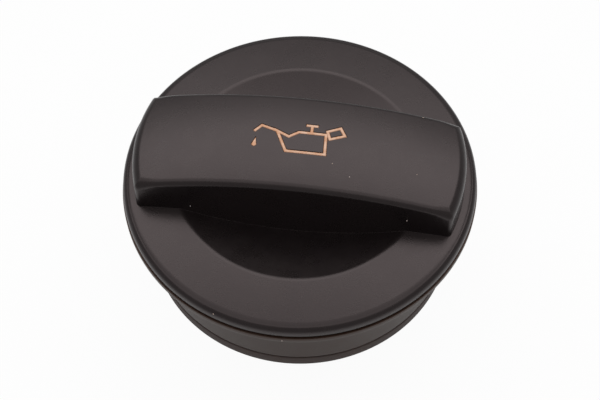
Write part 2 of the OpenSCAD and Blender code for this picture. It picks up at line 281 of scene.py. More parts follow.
def wall_distance(c, p):
    """Distance of the points p from the grip's four walls."""
    cover = settings().cover
    x, y, z = p[:, 0], p[:, 1], p[:, 2]
    along = np.hypot(x, z - c.arch_c) - cover.arch
    lean = np.clip((z - c.shoulder) / (c.grip_top - c.shoulder), 0, 1) * cover.end_draft
    sides = (np.abs(y) - cover.grip_top / 2 + along * math.tan(c.draft)) * math.cos(c.draft)
    return rounded_max(sides, np.hypot(x, y) - c.end_r + lean, cover.corner)


def cover_distance(c, p):
    """Distance of the points p from the cover's top surface, negative inside."""
    cover = settings().cover
    x, y, z = p[:, 0], p[:, 1], p[:, 2]
    along = np.hypot(x, z - c.arch_c) - cover.arch
    arch = np.hypot(along + cover.grip_crown, y) - cover.grip_crown
    outer = np.clip((np.abs(x) - c.end_r + EDGE_WIDENS) / EDGE_BLEND, 0, 1)
    edge = cover.edge + (cover.end_edge - cover.edge) * outer**2 * (3 - 2 * outer)
    return filleted_min(disc_distance(c, p), rounded_max(wall_distance(c, p), arch, edge), cover.foot)


def arch_height(c, x, y):
    """Height of the grip's crowned top."""
    cover = settings().cover
    along = cover.arch - cover.grip_crown + np.sqrt(cover.grip_crown**2 - y**2)
    return c.arch_c + np.sqrt(along**2 - x**2)


def disc_height(c, q):
    """Height of the dish or the crown at the plan points q."""
    r = np.hypot(*q.T)
    dish = c.dish_c - np.sqrt(settings().cover.dish**2 - r**2)
    return np.where(r < c.recess_r, dish, c.crown_c + np.sqrt(settings().cover.crown**2 - r**2))


def slopes(c, p):
    """Unit outward normals of the distance function at the points p."""
    step = 1e-6
    grad = np.stack(
        [cover_distance(c, p + step * e) - cover_distance(c, p - step * e) for e in np.eye(3)], 1
    ) / (2 * step)
    return grad / np.linalg.norm(grad, axis=1, keepdims=True)


def drawn_on(c, p, rounds=12):
    """The points p moved onto the cover's surface along its slope."""
    for _ in range(rounds):
        p = p - slopes(c, p) * cover_distance(c, p)[:, None]
    return p


# ---- Outline of the grip and the mesh of the cover


def spaced(start, end, crowded, wide, near, reach=1.2 * MM):
    """Steps from start to end, wide apart but near apart round the crowded places."""
    places, at = [start], start
    while at < end:
        gap = min(abs(at - x) for x in crowded)
        at += near + (wide - near) * min(max(gap / reach - 0.6, 0), 1)
        places.append(at)
    places[-1] = end
    if places[-1] - places[-2] < 0.4 * near:
        del places[-2]
    return np.array(places)


def grip_outline(c):
    """Points round the grip's foot in plan, and the outward direction at each."""
    cover = settings().cover
    reach = math.sqrt(c.end_r**2 - (cover.grip_foot / 2) ** 2)
    half = cover.grip_top / 2 + (arch_height(c, reach, 0) - c.shoulder) * math.tan(c.draft)
    reach = math.sqrt(c.end_r**2 - half**2)
    ridge_x = math.sqrt(c.recess_r**2 - half**2)
    side = spaced(-reach, reach, (-reach, reach, -ridge_x, ridge_x), 1.0 * MM, 0.13 * MM)[:-1]
    turn = math.asin(half / c.end_r)
    bend = turn * c.end_r
    arc = spaced(-bend, bend, (-bend, bend), 0.8 * MM, 0.13 * MM)
    arc = arc[:-1] / c.end_r
    front = np.stack([side, np.full(len(side), -half)], 1)
    right = c.end_r * np.stack([np.cos(arc), np.sin(arc)], 1)
    p = np.concatenate([front, right, -front, -right])

    def distance(q):
        return wall_distance(c, np.column_stack([q, disc_height(c, q)]))

    step = 1e-6
    for _ in range(12):
        grad = np.stack([distance(p + step * e) - distance(p - step * e) for e in np.eye(2)], 1)
        grad /= np.linalg.norm(grad, axis=1, keepdims=True)
        p = p - grad * distance(p)[:, None]
    return p, grad


def strip_guide(c, outline, outward):
    """Rows of points over the disc by the grip, up its wall and onto its top, one column a station."""
    cover = settings().cover
    by_fillet = cover.foot * np.array([1.2, 0.8, 0.5, 0.2])
    near_foot = np.append(by_fillet[::-1], np.array([0.1, 0.3, 0.6, 0.9]) * MM)
    near_edge = np.array([2.2, 1.9, 1.7, 1.5, 1.3, 1.1, 0.9, 0.7, 0.5, 0.3, 0.1]) * MM
    foot = np.column_stack([outline, disc_height(c, outline)])
    for _ in range(12):  # eased where the dish meets the crown
        foot[:, 2] -= disc_distance(c, foot)
    foot_z = foot[:, 2]
    lean = math.tan(c.draft) * (arch_height(c, *outline.T) - foot_z)
    top = outline - outward * np.column_stack([np.full(len(foot), cover.end_draft), lean])
    top_z = arch_height(c, *top.T)
    rows = [
        np.column_stack([outline + outward * d, foot_z])
        for d in np.append(np.array([1.3, 0.9, 0.6, 0.3, 0.1]) * MM, by_fillet)
    ]
    height = top_z - foot_z
    climbs = [np.full(len(foot), d) for d in near_foot]
    free = height - near_foot[-1] - near_edge[0]
    climbs += [near_foot[-1] + free * k / 6 for k in range(1, 6)]
    climbs += [height - d for d in near_edge]
    for up in climbs:
        part = (up / height)[:, None]
        rows.append(np.column_stack([outline + (top - outline) * part, foot_z + up]))
    inward = top / [c.end_r, cover.grip_top / 2]  # towards the middle, so that no two columns cross
    for d in np.array([0.1, 0.3, 0.5, 0.7, 0.9, 1.1, 1.3, 1.5, 1.7, 2.0, 2.5]) * MM:
        place = top - inward * d
        rows.append(np.column_stack([place, arch_height(c, *place.T)]))
    return np.stack(rows)


def inside_loop(points, loop):
    """Which plan points lie inside a closed loop."""
    x, y = points[:, 0][:, None], points[:, 1][:, None]
    a, b = loop, np.roll(loop, -1, 0)
    crosses = (a[:, 1] > y) != (b[:, 1] > y)
    with np.errstate(divide="ignore", invalid="ignore"):
        at = a[:, 0] + (y - a[:, 1]) * (b[:, 0] - a[:, 0]) / (b[:, 1] - a[:, 1])
    return (np.sum(crosses & (x < at), axis=1) % 2) == 1


def triangles_between(points, loops, keep):
    """Triangles over plan points, with the loops' edges kept; keep says which centres stay."""
    edges = [(a, b) for loop in loops for a, b in zip(loop, np.roll(loop, -1))]
    scaled = [Vector(p / MM) for p in points]
    _, _, faces, origin, _, _ = delaunay_2d_cdt(scaled, edges, [], 0, 1e-7)
    index = [o[0] for o in origin]
    faces = np.array([[index[v] for v in f] for f in faces])
    return faces[keep(points[faces].mean(1))]


def circle(radius, count):
    """Plan points round the axis, anticlockwise from x."""
    a = np.arange(count) * 2 * math.pi / count
    return radius * np.stack([np.cos(a), np.sin(a)], 1)


def band(low, high, count):
    """Faces between two closed rows of points, given by their first points."""
    return [(low + i, low + (i + 1) % count, high + (i + 1) % count, high + i) for i in range(count)]


def hex_points(low, high, gap):
    """Plan points on a triangular grid."""
    rows = []
    for k, y in enumerate(np.arange(low[1], high[1], gap * math.sqrt(0.75))):
        x = np.arange(low[0] + (k % 2) * gap / 2, high[0], gap)
        rows.append(np.column_stack([x, np.full(len(x), y)]))
    return np.concatenate(rows)


def ring_points(c, limit):
    """Plan points on rings over the dish and the crown, close together at the ridge."""
    cover = settings().cover
    eased = np.array([0, 0.12, 0.24, 0.36, 0.48, 0.65, 0.9]) * MM
    ridge = np.concatenate([-eased[:0:-1], eased]) + c.recess_r
    dish = np.arange(cover.grip_foot / 2, c.recess_r - 1.6 * MM, 1.1 * MM)
    crown = np.linspace(c.recess_r + 1.8 * MM, limit - 0.7 * MM, 7)
    points = []
    for r in np.concatenate([dish, ridge, crown]):
        on_ridge = abs(r - c.recess_r) < 1.0 * MM
        points.append(circle(r, 360 if on_ridge else int(2 * math.pi * r / (1.1 * MM))))
    return np.concatenate(points)


def cover_top(c, limit, segments):
    """Points and faces of the cover's top out to the limit radius; the last points are its edge."""
    outline, outward = grip_outline(c)
    strip = strip_guide(c, outline, outward)
    rows, count = strip.shape[:2]
    strip = drawn_on(c, strip.reshape(-1, 3))
    faces = []
    for row in range(rows - 1):
        faces += band(row * count, (row + 1) * count, count)
    outer, inner = strip[:count, :2], strip[-count:, :2]
    # the grip's top, inside the strip's last row
    box = np.array([c.end_r, settings().cover.grip_top / 2])
    fill = hex_points(-box, box, 1.1 * MM)
    fill = fill[inside_loop(fill, inner * (1 - 0.5 * MM / c.end_r) * [1, 0.94])]
    plan = np.concatenate([inner, fill])
    top_faces = triangles_between(plan, [np.arange(count)], lambda m: inside_loop(m, inner))
    top_index = np.arange(count + len(fill)) + (rows - 1) * count
    top_z = arch_height(c, *fill.T)
    points = [strip, drawn_on(c, np.column_stack([fill, top_z]), 3)]
    faces += [tuple(top_index[f]) for f in top_faces]
    # the dish and the crown, between the strip's first row and the limit
    edge = circle(limit, segments)
    ring = ring_points(c, limit)
    clear = np.min(np.hypot(*(ring[:, None] - outer[None]).transpose(2, 0, 1)), axis=1) > 0.16 * MM
    ring = ring[clear & ~inside_loop(ring, outer)]
    plan = np.concatenate([outer, ring, edge])
    loops = [np.arange(count), len(plan) - segments + np.arange(segments)]
    disc_faces = triangles_between(
        plan, loops, lambda m: ~inside_loop(m, outer) & (np.hypot(*m.T) < limit)
    )
    base = len(strip) + len(fill)
    disc_index = np.concatenate([np.arange(count), base + np.arange(len(ring) + segments)])
    drawn = np.column_stack([plan[count:], disc_height(c, plan[count:])])
    for _ in range(12):  # straight down onto the surface, so that the edge stays a circle
        n = slopes(c, drawn)
        drawn[:, 2] -= cover_distance(c, drawn) / n[:, 2]
    points.append(drawn)
    faces += [tuple(disc_index[f]) for f in disc_faces]
    return np.concatenate(points), faces


def arc_points(centre, radius, start, end, steps):
    """Points of an arc in radius and height, angles in degrees."""
    a = np.radians(np.linspace(start, end, steps + 1))
    return [(centre[0] + radius * math.cos(t), centre[1] + radius * math.sin(t)) for t in a]


def turned_rows(profile, segments):
    """A row of points round the axis for each radius and height of the outline."""
    return np.concatenate(
        [np.column_stack([circle(r, segments), np.full(segments, z)]) for r, z in profile]
    )


def turned(profile, segments):
    """Points and faces of a closed outline in radius and height, turned about the axis."""
    faces = []
    for k in range(len(profile)):
        faces += band(k * segments, (k + 1) % len(profile) * segments, segments)
    return turned_rows(profile, segments), faces


def softened(profile, radius, steps=3):
    """A closed outline with each corner cut back and rounded, and the points on the axis left alone."""
    out = []
    for k, p in enumerate(profile):
        p = np.array(p[:2])
        before, after = np.array(profile[k - 1][:2]), np.array(profile[(k + 1) % len(profile)][:2])
        own = profile[k][2] if len(profile[k]) > 2 else radius
        a, b = before - p, after - p
        la, lb = np.linalg.norm(a), np.linalg.norm(b)
        if p[0] < 1e-9 or own <= 0:
            out.append(tuple(p))
            continue
        half = 0.5 * math.acos(max(-1, min(1, float(a @ b) / la / lb)))
        cut = min(own / math.tan(half), 0.45 * la, 0.45 * lb)
        own = cut * math.tan(half)
        start, end = p + a / la * cut, p + b / lb * cut
        middle = p + (a / la + b / lb) / np.linalg.norm(a / la + b / lb) * own / math.sin(half)
        t0 = math.degrees(math.atan2(*(start - middle)[::-1]))
        t1 = math.degrees(math.atan2(*(end - middle)[::-1]))
        swing = (t1 - t0 + 180) % 360 - 180
        out += arc_points(middle, own, t0, t0 + swing, steps)
    return out


def mesh_object(name, points, faces):
    """A new object with the given mesh, in the scene."""
    mesh = bpy.data.meshes.new(name)
    points = [tuple(map(float, p)) for p in points]
    mesh.from_pydata(points, [], [tuple(map(int, f)) for f in faces])
    mesh.validate()
    piece = bpy.data.objects.new(name, mesh)
    bpy.context.scene.collection.objects.link(piece)
    return piece


def tidied(piece, tolerance=1e-8):
    """Doubles merged, empty faces removed and every face turned outwards."""
    bm = bmesh.new()
    bm.from_mesh(piece.data)
    bmesh.ops.remove_doubles(bm, verts=bm.verts, dist=tolerance)
    bmesh.ops.dissolve_degenerate(bm, edges=bm.edges, dist=tolerance)
    bmesh.ops.recalc_face_normals(bm, faces=bm.faces)
    bm.to_mesh(piece.data)
    bm.free()
    return piece


def applied(piece):
    """The piece with its modifiers made part of its mesh."""
    bpy.context.view_layer.update()
    shaped = piece.evaluated_get(bpy.context.evaluated_depsgraph_get())
    mesh = bpy.data.meshes.new_from_object(shaped)
    piece.modifiers.clear()
    piece.data = mesh
    return piece


def combined(piece, tool, operation):
    """The piece joined with or cut by the tool, which goes."""
    cut = piece.modifiers.new(operation.lower(), "BOOLEAN")
    cut.operation = operation
    cut.solver = "EXACT"
    cut.object = tool
    applied(piece)
    bpy.data.objects.remove(tool)
    return piece


def shaded_by_angle(piece):
    """Smooth shading, broken at the sharp edges."""
    piece.data.shade_smooth()
    piece.data.set_sharp_from_angle(angle=SHARP)


def finished(piece, node, material, replaces=True):
    """The piece in its material, riding on the cap's body."""
    piece.data.materials.clear()
    piece.data.materials.append(material)
    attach(piece, "root")
    if replaces:
        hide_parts(node)
    return piece


# ---- The symbol

CAN_BODY = ((-4.15, 1.5), (-1.9, 0.4), (-0.15, 1.55), (4.75, 1.55), (4.95, -2.7), (-2.15, -2.7))
CAN_SPOUT = ((-8.35, 1.1), (-7.05, 2.5), (-4.15, 1.5))
CAN_LID = ((0.95, 3.2), (3.25, 3.2))
CAN_STEM = ((2.1, 3.2), (2.1, 1.55))
CAN_HANDLE = ((4.95, 2.3), (7.25, 3.4), (8.15, 1.8), (5.55, 0.7))
DROP_TIP = (-7.85, -0.1)
DROP_CENTRE = (-8, -1.7)
DROP_SLIMNESS = 3.4  # from the tip to the centre, in radii
DRAWN_WIDTH = 16.6


def stroke_outline(points, closed, half):
    """Left and right sides of a mitred line."""
    p = np.array(points, float)
    ahead = np.roll(p, -1, 0) - p
    ahead /= np.linalg.norm(ahead, axis=1, keepdims=True)
    left = np.column_stack([-ahead[:, 1], ahead[:, 0]])
    before = np.roll(left, 1, 0)
    if not closed:
        left[-1] = before[-1]
        before[0] = left[0]
    mitre = (left + before) / (1 + np.sum(left * before, 1))[:, None]
    return p + mitre * half, p - mitre * half


def symbol_prisms(levels):
    """Prisms of the symbol's lines; levels are pairs of height and half width, upwards."""
    symbol = settings().symbol
    scale = symbol.width / DRAWN_WIDTH
    strokes = [
        (CAN_BODY, True),
        (CAN_SPOUT, False),
        (CAN_LID, False),
        (CAN_STEM, False),
        (CAN_HANDLE, True),
    ]
    pieces = []
    for points, closed in strokes:
        points = np.array(points) * scale
        loops = []
        for z, half in levels:
            a, b = stroke_outline(points, closed, half)
            if not closed:
                along = [(points[0] - points[1]), (points[-1] - points[-2])]
                along = [v / np.linalg.norm(v) * (half - symbol.line / 2) for v in along]
                for side in (a, b):
                    side[0] += along[0]
                    side[-1] += along[1]
            loops.append((z, a, b))
        n = len(points)
        verts = [(*q, z) for z, a, b in loops for q in np.concatenate([a, b])]
        faces = []
        spans = n if closed else n - 1
        for k in range(len(loops) - 1):
            lo, hi = k * 2 * n, (k + 1) * 2 * n
            for i in range(spans):
                j = (i + 1) % n
                faces.append((lo + i, lo + j, hi + j, hi + i))
                faces.append((lo + n + j, lo + n + i, hi + n + i, hi + n + j))
            if not closed:
                faces.append((lo + n, lo, hi, hi + n))
                faces.append((lo + n - 1, lo + 2 * n - 1, hi + 2 * n - 1, hi + n - 1))
        last = (len(loops) - 1) * 2 * n
        for i in range(spans):
            j = (i + 1) % n
            faces.append((i, n + i, n + j, j))
            faces.append((last + i, last + j, last + n + j, last + n + i))
        pieces.append(tidied(mesh_object("stroke", verts, faces)))
    tip, centre = np.array(DROP_TIP) * scale, np.array(DROP_CENTRE) * scale
    radius = np.linalg.norm(tip - centre) / DROP_SLIMNESS
    verts, count = [], 0
    for z, half in levels:
        grow = half - symbol.line / 2
        loop = [tip + (0, 2.5 * grow)]
        loop += [
            centre + (radius + grow) * np.array([math.cos(t), math.sin(t)])
            for t in np.radians(np.linspace(150, 390, 17))
        ]
        count = len(loop)
        verts += [(*q, z) for q in loop]
    faces = [tuple(range(count))[::-1], tuple(range(len(verts) - count, len(verts)))]
    for k in range(len(levels) - 1):
        faces += band(k * count, (k + 1) * count, count)
    pieces.append(tidied(mesh_object("drop", verts, faces)))
    whole = pieces[0]
    for other in pieces[1:]:
        combined(whole, other, "UNION")
    return whole


def bent_to_arch(c, piece):
    """Heights measured from the grip's top follow its arch."""
    for v in piece.data.vertices:
        v.co.z += float(arch_height(c, v.co.x, v.co.y))
    return piece


# ---- Materials

PLASTIC_IOR = 1.55
MOTTLE = 0.015  # how far the gloss of a moulding wanders


def new_group(name, inputs, outputs):
    """An empty shader node group with named sockets, and its two end nodes."""
    group = bpy.data.node_groups.new(name, "ShaderNodeTree")
    for label, kind, default in inputs:
        socket = group.interface.new_socket(label, in_out="INPUT", socket_type=kind)
        if default is not None:
            socket.default_value = default
    for label, kind in outputs:
        group.interface.new_socket(label, in_out="OUTPUT", socket_type=kind)
    return group, group.nodes.new("NodeGroupInput"), group.nodes.new("NodeGroupOutput")


class Wiring:
    """Short calls to add and join nodes of one tree."""

    def __init__(self, tree):
        self.tree = tree

    def node(self, kind, values=None, **settings_of_node):
        made = self.tree.nodes.new(kind)
        for key, value in settings_of_node.items():
            setattr(made, key, value)
        for key, value in (values or {}).items():
            self.put(value, made.inputs[key])
        return made

    def put(self, value, socket):
        if isinstance(value, bpy.types.NodeSocket):
            self.tree.links.new(value, socket)
        else:
            socket.default_value = value

    def math(self, operation, a, b=0.0, clamp=False):
        values = {0: a, 1: b}
        return self.node("ShaderNodeMath", values, operation=operation, use_clamp=clamp).outputs[0]

    def scaled(self, vector, factor):
        made = self.node("ShaderNodeVectorMath", {0: vector}, operation="SCALE")
        self.put(factor, made.inputs["Scale"])
        return made.outputs[0]

    def noise(self, vector, detail=3.0, rough=0.55, distort=0.0):
        values = {"Vector": vector, "Scale": 1.0, "Detail": detail, "Roughness": rough}
        return self.node("ShaderNodeTexNoise", {**values, "Distortion": distort}).outputs["Fac"]

    def ramp(self, value, low, high, to_low=0.0, to_high=1.0):
        made = self.node("ShaderNodeMapRange", {"Value": value}, interpolation_type="SMOOTHSTEP")
        limits = {"From Min": low, "From Max": high, "To Min": to_low, "To Max": to_high}
        for key, limit in limits.items():
            self.put(limit, made.inputs[key])
        return made.outputs["Result"]

    def mix(self, factor, a, b):
        made = self.node("ShaderNodeMix", data_type="RGBA")
        self.put(factor, made.inputs["Factor"])
        self.put(a, made.inputs["A"])
        self.put(b, made.inputs["B"])
        return made.outputs["Result"]


def moulded_grain():
    """Node group: the fine eroded grain of a mould, and slow flow marks in the gloss."""
    group, start, end = new_group(
        "moulded_grain",
        [("Position", "NodeSocketVector", None), ("Grain", "NodeSocketFloat", 0.0002)],
        [("Height", "NodeSocketFloat"), ("Mottle", "NodeSocketFloat")],
    )
    w = Wiring(group)
    place = start.outputs["Position"]
    fine = w.scaled(place, w.math("DIVIDE", 1.0, start.outputs["Grain"]))
    cells = w.node("ShaderNodeTexVoronoi", {"Vector": fine, "Scale": 1.0}, feature="SMOOTH_F1")
    grain = w.math("ADD", w.math("MULTIPLY", cells.outputs["Distance"], 0.6), w.noise(fine, 4.0, 0.6))
    slow = w.noise(w.scaled(place, 260.0), 4.0, 0.6, 0.3)
    group.links.new(grain, end.inputs["Height"])
    group.links.new(slow, end.inputs["Mottle"])
    return group


def dust_film():
    """Node group: where fine dust has settled, thicker in patches, with scattered specks."""
    group, start, end = new_group(
        "dust_film",
        [
            ("Position", "NodeSocketVector", None),
            ("Amount", "NodeSocketFloat", 0.5),
            ("Specks", "NodeSocketFloat", 0.5),
        ],
        [("Mask", "NodeSocketFloat")],
    )
    w = Wiring(group)
    place = start.outputs["Position"]
    patches = w.ramp(w.noise(w.scaled(place, 120.0), 5.0, 0.65), 0.4, 0.75)
    facing = w.node("ShaderNodeNewGeometry").outputs["Normal"]
    upward = w.ramp(w.node("ShaderNodeSeparateXYZ", {0: facing}).outputs["Z"], 0.3, 0.95)
    film = w.math("MULTIPLY", w.math("MULTIPLY", patches, upward), start.outputs["Amount"])
    spots = w.node("ShaderNodeTexVoronoi", {"Vector": place, "Scale": 700.0}).outputs["Distance"]
    chance = w.ramp(w.noise(w.scaled(place, 900.0), 2.0), 0.62, 0.75)
    speck = w.math("MULTIPLY", w.ramp(spots, 0.16, 0.05), chance)
    speck = w.math("MULTIPLY", speck, start.outputs["Specks"])
    group.links.new(w.math("ADD", film, speck, clamp=True), end.inputs["Mask"])
    return group


def worn_edges():
    """Node group: lighter edges, from the edge attribute that a piece carries: partly rubbed wear,
    partly painted highlight.
    """
    group, start, end = new_group(
        "worn_edges",
        [("Position", "NodeSocketVector", None), ("Amount", "NodeSocketFloat", 0.5)],
        [("Mask", "NodeSocketFloat")],
    )
    w = Wiring(group)
    edge = w.node("ShaderNodeAttribute", attribute_name="edge").outputs["Fac"]
    broken = w.ramp(w.noise(w.scaled(start.outputs["Position"], 1500.0), 4.0, 0.7), 0.35, 0.7)
    mask = w.math("MULTIPLY", w.math("MULTIPLY", edge, broken), start.outputs["Amount"], clamp=True)
    group.links.new(mask, end.inputs["Mask"])
    return group


def colour4(value):
    """A colour with its alpha."""
    return (*value, 1.0)


def shared(build):
    """The node tree that a function builds, built once and named after it."""
    return bpy.data.node_groups.get(build.__name__) or build()


def new_material(name):
    """A material, its wiring, its shader and the piece's own coordinates."""
    material = bpy.data.materials.new(name)
    material.use_nodes = True
    w = Wiring(material.node_tree)
    place = w.node("ShaderNodeTexCoord").outputs["Object"]
    return material, w, w.tree.nodes["Principled BSDF"], place


def moulded_material(name, base, rough, grain, bump, dust, wear_and_highlight, level=0.5, tint=None):
    """Moulded plastic or rubber: base colour, mottled gloss, fine grain, dust film, and lighter edges
    that are partly rubbed wear and partly painted highlight.
    """
    finish = settings().finish
    material, w, shader, place = new_material(name)
    texture = w.node(
        "ShaderNodeGroup", {"Position": place, "Grain": grain}, node_tree=shared(moulded_grain)
    )
    values = {"Position": place, "Amount": dust, "Specks": dust}
    film = w.node("ShaderNodeGroup", values, node_tree=shared(dust_film))
    rubbed_and_highlit = w.node(
        "ShaderNodeGroup", {"Position": place, "Amount": wear_and_highlight}, node_tree=shared(worn_edges)
    )
    darker, lighter = (colour4(tuple(min(1.0, v * k) for v in base)) for k in (0.85, 1.5))
    tone = w.mix(texture.outputs["Mottle"], darker, lighter)
    # lighter in broken patches along sharply turning edges: rubbed wear and painted highlight
    tone = w.mix(rubbed_and_highlit.outputs["Mask"], tone, colour4(tuple(v * 0.25 + 0.02 for v in base)))
    tone = w.mix(film.outputs["Mask"], tone, colour4(finish.dust))
    w.put(tone, shader.inputs["Base Color"])
    gloss = w.ramp(texture.outputs["Mottle"], 0.3, 0.7, rough - MOTTLE, rough + MOTTLE)
    gloss = w.math("ADD", gloss, w.math("MULTIPLY", film.outputs["Mask"], 0.3), clamp=True)
    w.put(gloss, shader.inputs["Roughness"])
    relief = w.node("ShaderNodeBump", {"Strength": bump, "Distance": 0.03 * MM})
    w.put(texture.outputs["Height"], relief.inputs["Height"])
    w.put(relief.outputs["Normal"], shader.inputs["Normal"])
    shader.inputs["IOR"].default_value = PLASTIC_IOR
    shader.inputs["Specular Tint"].default_value = colour4(tint or finish.sheen)
    shader.inputs["Specular IOR Level"].default_value = level
    return material


def painted_material(name, base):
    """Paint laid into the engraving: uneven cover, with painted shade darkening it where it meets the
    wall.
    """
    material, w, shader, place = new_material(name)
    streak = w.noise(w.scaled(place, 700.0), 4.0, 0.6)
    edge = w.node("ShaderNodeAttribute", attribute_name="edge").outputs["Fac"]
    thinner = colour4(tuple(v * k for v, k in zip(base, (0.85, 0.66, 0.5))))
    tone = w.mix(w.ramp(streak, 0.35, 0.7), colour4(base), thinner)
    # painted shade: darker orange towards the paint's low edges, where it meets the engraving's wall
    tone = w.mix(w.math("MULTIPLY", edge, 0.9), tone, colour4(settings().finish.orange_edge))
    w.put(tone, shader.inputs["Base Color"])
    w.put(w.ramp(streak, 0.3, 0.7, 0.45, 0.6), shader.inputs["Roughness"])
    relief = w.node("ShaderNodeBump", {"Strength": 0.3, "Distance": 0.02 * MM, "Height": streak})
    w.put(relief.outputs["Normal"], shader.inputs["Normal"])
    return material


# ---- Operators, one for each piece


class CAP_OT_cover(bpy.types.Operator):
    """Build the cover with its grip, recess, rim and engraved symbol"""

    bl_idname = "cap.cover"
    bl_label = "Cover"

    def execute(self, context):
        s, c = settings(), cap_levels()
        cover = s.cover
        limit = c.shoulder_c + 0.35 * cover.shoulder
        points, faces = cover_top(c, limit, cover.segments)
        centre = (c.shoulder_c, c.shoulder - cover.shoulder)
        start = math.degrees(math.acos((limit - c.shoulder_c) / cover.shoulder))
        soft = s.body.softening
        tilt = math.atan(cover.rim_lean / (cover.rim_height - cover.shoulder))
        side = arc_points(centre, cover.shoulder, start, math.degrees(tilt), 9)
        foot_r = side[-1][0] + (side[-1][1] - c.seam) * math.tan(tilt)
        inner = [
            (foot_r, c.seam, cover.rim_round),
            (c.seat_r, c.seam),
            (c.seat_r, c.seat),
            (c.spigot_r, c.seat),
            (c.spigot_r, c.seat - s.body.spigot),
            (c.spigot_r - 1.8 * MM, c.seat - s.body.spigot),
            (c.spigot_r - 1.8 * MM, c.seam),
        ]
        rounded = softened([(*side[-1], 0), *inner, (0, c.seam, 0)], soft)[1:-1]
        profile = side[1:] + rounded
        segments = cover.segments
        last = len(points) - segments  # the top's edge, and then each row in turn
        for _ in profile:
            faces += band(last, last + segments, segments)
            last += segments
        faces.append(tuple(range(last, last + segments)))
        points = np.concatenate([points, turned_rows(profile, segments)])
        piece = tidied(mesh_object("cover", points, faces), MERGE)
        symbol = s.symbol
        half, above = symbol.line / 2, 2 * MM
        wide = half + symbol.lip
        levels = [(-symbol.depth, half), (-symbol.lip, half), (0.0, wide), (above, wide)]
        combined(piece, bent_to_arch(c, symbol_prisms(levels)), "DIFFERENCE")
        shade_cover(c, piece)
        finish = s.finish
        material = moulded_material(
            "satin_black_plastic",
            finish.plastic,
            finish.gloss,
            finish.grain,
            bump=0.35,
            dust=0.01,
            wear_and_highlight=0.5,
        )
        finished(piece, "grip_cover", material)
        return {"FINISHED"}


def read(items, key, width=1, kind=float):
    """One property of all of a mesh's items."""
    values = np.empty(len(items) * width, kind)
    items.foreach_get(key, values)
    return values.reshape(-1, width) if width > 1 else values


ON_SURFACE = 2e-6  # metres from the surface, within which a point lies on it
AGREES = 0.86  # cosine between a face and the surface, above which the face follows it


def shade_cover(c, piece):
    """Exact normals over the drawn surface, and sharp ones in the engraving and below the rim."""
    mesh = piece.data
    mesh.shade_smooth()
    co = read(mesh.vertices, "co", 3)
    on_surface = (np.abs(cover_distance(c, co)) < ON_SURFACE) & (co[:, 2] > c.seam + 0.3 * MM)
    exact = np.zeros(co.shape)
    exact[on_surface] = slopes(c, co[on_surface])
    mesh.set_sharp_from_angle(angle=SHARP)
    normals = read(mesh.corner_normals, "vector", 3, np.float32).astype(float)
    corners = exact[read(mesh.loops, "vertex_index", kind=np.int64)]
    sides = read(mesh.polygons, "loop_total", kind=np.int64)
    facing = np.repeat(read(mesh.polygons, "normal", 3), sides, axis=0)
    take = np.sum(corners * facing, axis=1) > AGREES
    normals[take] = corners[take]
    mesh.normals_split_custom_set([tuple(n) for n in normals])
    # how sharply the surface turns, for the lighter edges: rubbed wear with painted highlight
    step = 0.25 * MM
    probe, upright = co[on_surface], exact[on_surface]
    spread = np.zeros(len(probe))
    for axis in np.eye(3):
        along = step * (axis - upright * (upright @ axis)[:, None])
        rise = cover_distance(c, probe + along) + cover_distance(c, probe - along)
        spread = np.maximum(spread, rise / step**2 / 2)
    turning = np.zeros(len(co))
    turning[on_surface] = np.clip(spread * MM / 2, 0, 1)
    mark_points(mesh, "edge", turning)


def mark_points(mesh, name, values):
    """A number on each point of the mesh, for a material or a tree to read."""
    mark = mesh.attributes.new(name, "FLOAT", "POINT")
    mark.data.foreach_set("value", np.asarray(values, np.float32))


class CAP_OT_body(bpy.types.Operator):
    """Build the body: flange, collar, floor and the bayonet plug with its lugs and ribs"""

    bl_idname = "cap.body"
    bl_label = "Body"

    def execute(self, context):
        s, c = settings(), cap_levels()
        body = s.body
        soft = body.softening
        profile = [
            (0, c.plug_top, 0),
            (body.plug, c.plug_top),
            (body.plug, c.floor + body.wall),
            (c.collar_in_r, c.floor + body.wall),
            (c.collar_in_r, c.seat),
            (c.flange_r, c.seat, 0.06 * MM),
            (c.flange_r - body.flange_lean, c.flange, body.flange_round),
            (c.collar_r, c.flange),
            (c.collar_r, c.collar_foot, 0.35 * MM),
            (c.collar_in_r, c.collar_foot),
            (c.collar_in_r, c.floor),
            (body.plug, c.floor),
            (body.plug, 0, body.lug_bevel * 0.8),
            (c.plug_in_r, 0),
            (c.plug_in_r, c.plug_top - body.wall),
            (0, c.plug_top - body.wall, 0),
        ]
        points, faces = turned(softened(profile, soft), s.cover.segments)
        piece = tidied(mesh_object("body", points, faces), MERGE)
        finish = s.finish
        material = moulded_material(
            "matt_black_plastic",
            finish.collar,
            finish.gloss + 0.04,
            finish.grain,
            bump=0.3,
            dust=0.01,
            wear_and_highlight=0.3,
            level=0.34,
            tint=finish.collar_sheen,
        )
        for tool in (*lugs(material), ribs(c)):
            combined(piece, tool, "UNION")
        tidied(piece, MERGE)
        shaded_by_angle(piece)
        finished(piece, "plug_body", material)
        return {"FINISHED"}


def sector_block(name, inner, outer, start, turn, low, high, steps=22):
    """A block between two radii, over a turn; its low and high levels are functions of the angle."""
    a = start + turn * np.linspace(0, 1, steps + 1)
    verts = []
    for t in a:
        for r, z in ((inner, low(t)), (outer, low(t)), (outer, high(t)), (inner, high(t))):
            verts.append((r * math.cos(t), r * math.sin(t), z))
    faces = []
    for k in range(steps):
        faces += band(4 * k, 4 * k + 4, 4)
    faces += [(3, 2, 1, 0), tuple(4 * steps + i for i in range(4))]
    return tidied(mesh_object(name, verts, faces))


def bevelled(piece, width):
    """The piece with its sharp edges rounded."""
    bevel = piece.modifiers.new("bevel", "BEVEL")
    bevel.width = width
    bevel.segments = 3
    bevel.limit_method = "ANGLE"
    bevel.angle_limit = math.radians(35)
    bevel.harden_normals = False
    return applied(piece)


